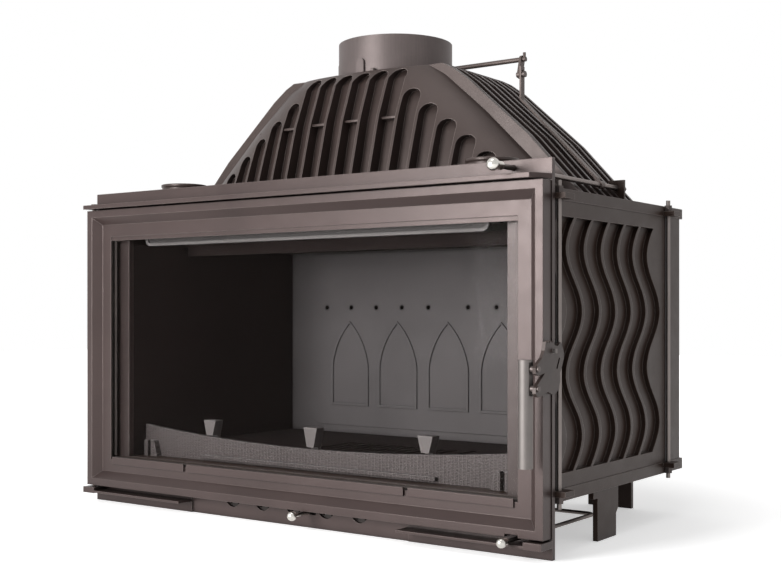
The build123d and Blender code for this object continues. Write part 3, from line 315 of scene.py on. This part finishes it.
# Painted shade: sides, back, top and bottom take a darker copy of the front's iron, for faces turned from the
# light
side_shade_iron = casting("side_shade_iron", (0.027, 0.015, 0.011), (0.21, 0.17, 0.155), 0.44, 0.12, hollow_shade=0.6, reach=0.02)
hood_iron = casting("hood_iron", (0.042, 0.029, 0.026), (0.22, 0.18, 0.17), 0.40, 0.25, hollow_shade=0.25, reach=0.02)
fire_iron = casting("fire_iron", (0.013, 0.008, 0.0075), (0.03, 0.024, 0.022),
                    0.75, 0.0, hollow_shade=0.8, reach=0.04)
back_iron = casting("back_iron", (0.074, 0.067, 0.068), (0.15, 0.145, 0.147),
                    0.55, 0.10, 0.0005, hollow_shade=0.8, reach=0.012)
stop_iron = casting("stop_iron", (0.080, 0.070, 0.068), (0.36, 0.33, 0.32), 0.42, 0.25, hollow_shade=0.6, reach=0.01)
airwash_painted_light_iron = airwash_shade_and_highlight()
shade_jet_holes(back_iron)
collar_steel = steel("collar_steel", (0.105, 0.085, 0.082), 0.46, 2, 0.45)
grip_steel = steel("grip_steel", (0.17, 0.155, 0.148), 0.55)
knob_steel = steel("knob_steel", (0.60, 0.58, 0.54), 0.22, 0)
rod_steel = steel("rod_steel", (0.20, 0.175, 0.165), 0.42)
screw_steel = rolled("screw_steel", (0.085, 0.070, 0.066), 0.42, 0.5)
link_steel = rolled("link_steel", (0.080, 0.062, 0.056), 0.45, 0.4)
lever_iron = rolled("lever_iron", (0.036, 0.025, 0.022), 0.45, 0.2)
black_sheet = rolled("black_sheet", (0.030, 0.024, 0.022), 0.6, 0.1)
fender_iron = stamped_fender()
glass = furnace_glass()
rope = fibre_rope()
side_shade_iron.shader.inputs["Specular IOR Level"].default_value = BODY_SPECULAR
fire_iron.shader.inputs["Specular IOR Level"].default_value = SOOT_SPECULAR
back_iron.shader.inputs["Specular IOR Level"].default_value = FIREBACK_SPECULAR

wears = {
    front_iron: ("front_frame", "upper_lip", "ledge_left", "ledge_right", "door_frame", "door_sill_bars",
                 "latch_boss", "firebox_front"),
    side_shade_iron: ("side_wall_left", "side_wall_right", "back_wall", "bottom_plate", "top_plate", "side_legs",
                "rear_legs", "ash_box", "rod_ear"),
    hood_iron: ("hood_rear",),
    fire_iron: ("side_liners", "hearth_plate", "grate", "smoke_baffle", "smoke_bar"),
    airwash_painted_light_iron: ("airwash_deflector",),
    back_iron: ("fireback",),
    stop_iron: ("log_stops",),
    fender_iron: ("fender",),
    collar_steel: ("flue_collar", "damper_disc"),
    grip_steel: ("handle_grip", "handle_shaft"),
    knob_steel: ("damper_knob", "throttle_knob", "shutter_knob"),
    screw_steel: ("collar_screws", "crank_bolt", "rod_nut", "tie_rod_nuts", "retainer_screws", "grip_screws"),
    rod_steel: ("tie_rods", "throttle_rod", "damper_rod"),
    link_steel: ("damper_link", "damper_axle", "damper_crank", "hinge_pins"),
    lever_iron: ("handle_lever",),
    black_sheet: ("ash_pan", "shutter_seat", "air_shutter", "glass_retainers", "throttle_plate",
                  "throttle_guides"),
    glass: ("door_glass",),
    rope: ("door_rope", "glass_gasket"),
}
for finish, names in wears.items():
    for name in names:
        mesh = nodes[name].data
        mesh.materials.clear()
        mesh.materials.append(finish.material)


# Tools for shaping a piece in edit mode
def block(name, low, high):
    """A box between two corners, shaped in edit mode."""
    bpy.ops.object.select_all(action="DESELECT")
    bpy.ops.mesh.primitive_cube_add(size=1.0)
    piece = bpy.context.object
    piece.name = name
    bpy.ops.object.mode_set(mode="EDIT")
    bpy.ops.mesh.select_all(action="SELECT")
    size = tuple(b - a for a, b in zip(low, high))
    bpy.ops.transform.resize(value=size, center_override=(0.0, 0.0, 0.0))
    bpy.ops.transform.translate(value=tuple((a + b) / 2.0 for a, b in zip(low, high)))
    bpy.ops.object.mode_set(mode="OBJECT")
    return piece


def tower(name, levels, middle_y, corners):
    """A closed body through level outlines of (height, half width, half depth)."""
    bpy.ops.object.select_all(action="DESELECT")
    if corners == 4:
        bpy.ops.mesh.primitive_plane_add(size=2.0)
    else:
        bpy.ops.mesh.primitive_circle_add(vertices=corners, radius=1.0, fill_type="NGON")
    piece = bpy.context.object
    piece.name = name
    bpy.ops.object.mode_set(mode="EDIT")
    bpy.ops.mesh.select_all(action="SELECT")
    height, half_x, half_y = levels[0]
    bpy.ops.transform.resize(value=(half_x, half_y, 1.0), center_override=(0.0, 0.0, 0.0))
    bpy.ops.transform.translate(value=(0.0, middle_y, height))
    for next_height, next_x, next_y in levels[1:]:
        bpy.ops.mesh.extrude_region_move(TRANSFORM_OT_translate={"value": (0.0, 0.0, next_height - height)})
        bpy.ops.transform.resize(value=(next_x / half_x, next_y / half_y, 1.0),
                                 center_override=(0.0, middle_y, next_height))
        height, half_x, half_y = next_height, next_x, next_y
    bpy.ops.mesh.select_all(action="SELECT")
    bpy.ops.mesh.normals_make_consistent(inside=False)
    bpy.ops.object.mode_set(mode="OBJECT")
    return piece


def combine(piece, tool, way):
    """Joins, cuts or keeps the common part of two solids; the tool is used up."""
    step = piece.modifiers.new("shape", "BOOLEAN")
    step.operation = way
    step.solver = "EXACT"
    step.object = tool
    bpy.ops.object.select_all(action="DESELECT")
    bpy.context.view_layer.objects.active = piece
    piece.select_set(True)
    bpy.ops.object.modifier_apply(modifier=step.name)
    bpy.data.objects.remove(tool, do_unlink=True)


def round_over(piece, width, segments=2):
    """A small round along the edges, applied."""
    step = piece.modifiers.new("round", "BEVEL")
    step.width = width
    step.segments = segments
    step.limit_method = "ANGLE"
    bpy.ops.object.select_all(action="DESELECT")
    bpy.context.view_layer.objects.active = piece
    piece.select_set(True)
    bpy.ops.object.modifier_apply(modifier=step.name)


def dress(piece, finish, stands_for=None, turn=35.0):
    """Smooths a finished piece, gives it its finish and hangs it on the body."""
    bpy.ops.object.select_all(action="DESELECT")
    bpy.context.view_layer.objects.active = piece
    piece.select_set(True)
    bpy.ops.object.shade_smooth_by_angle(angle=math.radians(turn))
    piece.data.materials.clear()
    piece.data.materials.append(finish.material)
    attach(piece, "firebox")
    if stands_for:
        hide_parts(*stands_for)


# Front casting of the hood: oval cone with pockets between thin fins, and the arched flange behind it
HOOD_FOOT, HOOD_TOP = (corner[2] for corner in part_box("hood_front"))
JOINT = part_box("hood_front")[1][1]
HOOD_REACH = 0.13
FIN_PITCH = 0.0355
FIN_THICK = 0.0048
CONE_LEVELS = ((HOOD_FOOT, 0.388, 0.104), (0.566, 0.334, 0.094), (0.656, 0.243, 0.071), (0.722, 0.168, 0.046),
               (HOOD_TOP, 0.137, 0.024))
CONE_SIDES = 96
FLANGE_LEVELS = ((HOOD_FOOT, 0.4145), (0.549, 0.3755), (0.614, 0.3155), (0.680, 0.2415), (0.714, 0.2035),
                 (0.734, 0.1755), (HOOD_TOP, 0.1575))
FLANGE_THICK = 0.007
POCKET_HALF = (FIN_PITCH - FIN_THICK) / 2.0
POCKET_DEPTH = 0.024
POCKET_LAST = 0.365
POCKETS_EACH_SIDE = 11
TALL_REACH = 0.10
TALL_MARGIN = 0.004
SHORT_REACH = 0.124
SHORT_TOP = 0.700
POCKET_FALL = 0.80
SEAM_HEIGHT = 0.6535


def pocket_top(reach):
    """Height at which a pocket ends, falling away from the middle of the hood."""
    return HOOD_TOP - TALL_MARGIN if reach < TALL_REACH else SHORT_TOP - (reach - SHORT_REACH) * POCKET_FALL


def pocket_crown(middle, top):
    """The rounded top of a pocket's cutter."""
    crown = block("crown", (middle - POCKET_HALF, JOINT - HOOD_REACH, top - POCKET_HALF),
                  (middle + POCKET_HALF, JOINT, top))
    weights = crown.data.attributes.new("bevel_weight_edge", "FLOAT", "EDGE")
    for edge in crown.data.edges:
        ends = [crown.data.vertices[i].co for i in edge.vertices]
        runs_in = abs(ends[0].y - ends[1].y) > HOOD_REACH / 2.0
        weights.data[edge.index].value = 1.0 if runs_in and ends[0].z > top - 0.001 else 0.0
    step = crown.modifiers.new("crown", "BEVEL")
    step.width = POCKET_HALF * 0.95
    step.segments = 6
    step.limit_method = "WEIGHT"
    bpy.context.view_layer.objects.active = crown
    bpy.ops.object.modifier_apply(modifier=step.name)
    return crown


def hood_casting():
    """The oval cone with its pockets cut, its flange joined on and its inside hollowed."""
    cone = tower("hood_front_casting", CONE_LEVELS, JOINT, CONE_SIDES)
    nose = CONE_LEVELS[0][2]
    floor_levels = [(z, a - 0.004, b - POCKET_DEPTH * (b / nose) ** 0.3) for z, a, b in CONE_LEVELS]
    floor_levels.insert(0, (HOOD_FOOT - 0.02, *floor_levels[0][1:]))
    for place in range(1 - POCKETS_EACH_SIDE, POCKETS_EACH_SIDE):
        middle = (place + 0.5) * FIN_PITCH
        if abs(middle) > POCKET_LAST:
            continue
        top = pocket_top(abs(middle))
        pocket = block("pocket", (middle - POCKET_HALF, JOINT - HOOD_REACH, HOOD_FOOT - 0.01),
                       (middle + POCKET_HALF, JOINT, top - POCKET_HALF))
        combine(pocket, pocket_crown(middle, top), "UNION")
        combine(pocket, tower("pocket_floor", floor_levels, JOINT, CONE_SIDES), "DIFFERENCE")
        combine(cone, pocket, "DIFFERENCE")
    half_flange = FLANGE_THICK / 2.0
    flange = tower("flange", [(z, a, half_flange) for z, a in FLANGE_LEVELS], JOINT - half_flange, 4)
    behind = block("behind", (-0.6, JOINT - FLANGE_THICK + 0.0001, 0.4), (0.6, JOINT + 0.3, 0.9))
    combine(cone, behind, "DIFFERENCE")
    combine(cone, flange, "UNION")
    hollow_levels = [(z, a - 0.020, b - 0.042) for z, a, b in CONE_LEVELS[:3]]
    hollow = tower("hollow", hollow_levels, JOINT, CONE_SIDES // 2)
    combine(cone, hollow, "DIFFERENCE")
    return cone


dress(hood_casting(), hood_iron, ("hood_front",), 28.0)


# Ledges of the hood's seam in every second pocket
def hood_reach(height, across):
    """Depth of the cone in front of the joint at a height and a place across."""
    for (z0, a0, b0), (z1, a1, b1) in zip(CONE_LEVELS, CONE_LEVELS[1:]):
        if z0 <= height <= z1:
            share = (height - z0) / (z1 - z0)
            half_x, half_y = a0 + share * (a1 - a0), b0 + share * (b1 - b0)
            return half_y * math.sqrt(max(0.0, 1.0 - (across / half_x) ** 2))
    return 0.0


LEDGE_HALF = POCKET_HALF + 0.0004
LEDGE_SET_BACK = 0.006
LEDGE_DEPTH = 0.022
LEDGE_RISE = 0.002
for place in (-5, -3, -1, 1, 3):
    middle = (place - 0.5) * FIN_PITCH
    ledge_front = JOINT - (hood_reach(SEAM_HEIGHT, middle) - LEDGE_SET_BACK)
    ledge = block("hood_seam_ledge", (middle - LEDGE_HALF, ledge_front, SEAM_HEIGHT - LEDGE_RISE),
                  (middle + LEDGE_HALF, ledge_front + LEDGE_DEPTH, SEAM_HEIGHT + LEDGE_RISE))
    round_over(ledge, 0.0006)
    dress(ledge, hood_iron)

# Hot-air outlets: cast rings with a thick foot and a rounded lip, slimmer than the CAD rings
OUTLET_RADIUS = 0.0385
OUTLET_WALL = 0.0035
OUTLET_FOOT = 0.0030
OUTLET_LIP = 0.0018
OUTLET_SIDES = 72
CAD_OUTLET_RADIUS = 0.049
outlets_low, outlets_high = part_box("hot_air_outlets")
outlet_y = (outlets_low[1] + outlets_high[1]) / 2.0
outlet_x = (outlets_high[0] - outlets_low[0]) / 2.0 - CAD_OUTLET_RADIUS
ring_foot, ring_top = outlets_low[2], outlets_high[2]
ring_bore = OUTLET_RADIUS - OUTLET_WALL
rim = ((ring_foot, OUTLET_RADIUS + OUTLET_FOOT), (ring_foot + 0.006, OUTLET_RADIUS + OUTLET_FOOT),
       (ring_foot + 0.008, OUTLET_RADIUS), (ring_top - 0.006, OUTLET_RADIUS),
       (ring_top - 0.004, OUTLET_RADIUS + OUTLET_LIP), (ring_top, OUTLET_RADIUS + OUTLET_LIP))
for side in (-1.0, 1.0):
    ring = tower("hot_air_ring", [(z, r, r) for z, r in rim], outlet_y, OUTLET_SIDES)
    bore = tower("bore", [(z, ring_bore, ring_bore) for z in (ring_foot - 0.01, ring_top + 0.01)], outlet_y,
                 OUTLET_SIDES)
    combine(ring, bore, "DIFFERENCE")
    bpy.ops.object.mode_set(mode="EDIT")
    bpy.ops.mesh.select_all(action="SELECT")
    bpy.ops.transform.translate(value=(side * outlet_x, 0.0, 0.0))
    bpy.ops.object.mode_set(mode="OBJECT")
    round_over(ring, 0.0008)
    dress(ring, hood_iron, ("hot_air_outlets",))


# White floor and surround
def seen_rays(tree):
    """One for rays that see the studio: camera, mirror and glass rays."""
    path = tree.nodes.new("ShaderNodeLightPath")
    seen = path.outputs["Is Camera Ray"]
    for ray in ("Is Glossy Ray", "Is Transmission Ray"):
        either = tree.nodes.new("ShaderNodeMath")
        either.operation = "MAXIMUM"
        tree.links.new(seen, either.inputs[0])
        tree.links.new(path.outputs[ray], either.inputs[1])
        seen = either.outputs[0]
    return seen


floor_white = Finish("floor_white", (0.93, 0.93, 0.93), 0.9)
away = floor_white.node("ShaderNodeVectorMath", {"operation": "LENGTH"}, {0: floor_white.place()}, "Value")
lift = floor_white.node("ShaderNodeMapRange", None,
                        {"Value": away, "From Min": FLOOR_NEAR, "From Max": FLOOR_FAR,
                         "To Min": FLOOR_LIFT, "To Max": 1.0}, "Result")
shown = Flow(floor_white, seen_rays(floor_white.tree)) * lift
floor_white.into("Emission Color", floor_white.mix(shown, rgba((0.0, 0.0, 0.0)), rgba((1.0, 1.0, 1.0))))
floor_white.shader.inputs["Emission Strength"].default_value = 1.0
bpy.ops.mesh.primitive_plane_add(size=FLOOR_SPAN, location=(0.0, 0.0, -FLOOR_DROP))
floor = bpy.context.object
floor.name = "studio_floor"
floor.data.materials.append(floor_white.material)

world = bpy.data.worlds.new("studio")
bpy.context.scene.world = world
world.use_nodes = True
air = world.node_tree
surround = air.nodes["Background"]
lit = air.nodes.new("ShaderNodeMapRange")
air.links.new(seen_rays(air), lit.inputs["Value"])
lit.inputs["To Min"].default_value = AIR_LIGHT
lit.inputs["To Max"].default_value = 1.0
air.links.new(lit.outputs["Result"], surround.inputs["Strength"])
surround.inputs["Color"].default_value = (1.0, 1.0, 1.0, 1.0)


# One soft light from the front and a weak fill from above
def soft_light(name, place, aim, width, height, power):
    """A rectangular lamp at a place, turned to its aim."""
    lamp = bpy.data.lights.new(name, "AREA")
    lamp.shape = "RECTANGLE"
    lamp.size = width
    lamp.size_y = height
    lamp.energy = power
    holder = bpy.data.objects.new(name, lamp)
    bpy.context.scene.collection.objects.link(holder)
    holder.location = place
    holder.rotation_euler = (Vector(aim) - Vector(place)).to_track_quat("-Z", "Y").to_euler()


soft_light("front_softbox", (-0.45, -2.3, 0.72), (0.2, -0.2, 0.35), 0.9, 1.1, 72.0)
soft_light("top_softbox", (0.3, -0.9, 2.6), (0.0, 0.0, 0.4), 1.4, 1.2, 10.0)

# Camera, solved from the edges of the front frame
CAMERA_PLACE = (1.22163, -1.44785 + FRONT, 0.33945)
CAMERA_TURN = 35.464
LENS_LENGTH = 55.126
LENS_SHIFT = 0.0229
lens = bpy.data.cameras.new("photo_camera")
lens.sensor_width = 36.0
lens.lens = LENS_LENGTH
lens.shift_y = LENS_SHIFT
camera = bpy.data.objects.new("photo_camera", lens)
bpy.context.scene.collection.objects.link(camera)
camera.location = CAMERA_PLACE
camera.rotation_euler = (math.radians(90.0), 0.0, math.radians(CAMERA_TURN))
bpy.context.scene.camera = camera
bpy.context.scene.view_settings.view_transform = "Standard"
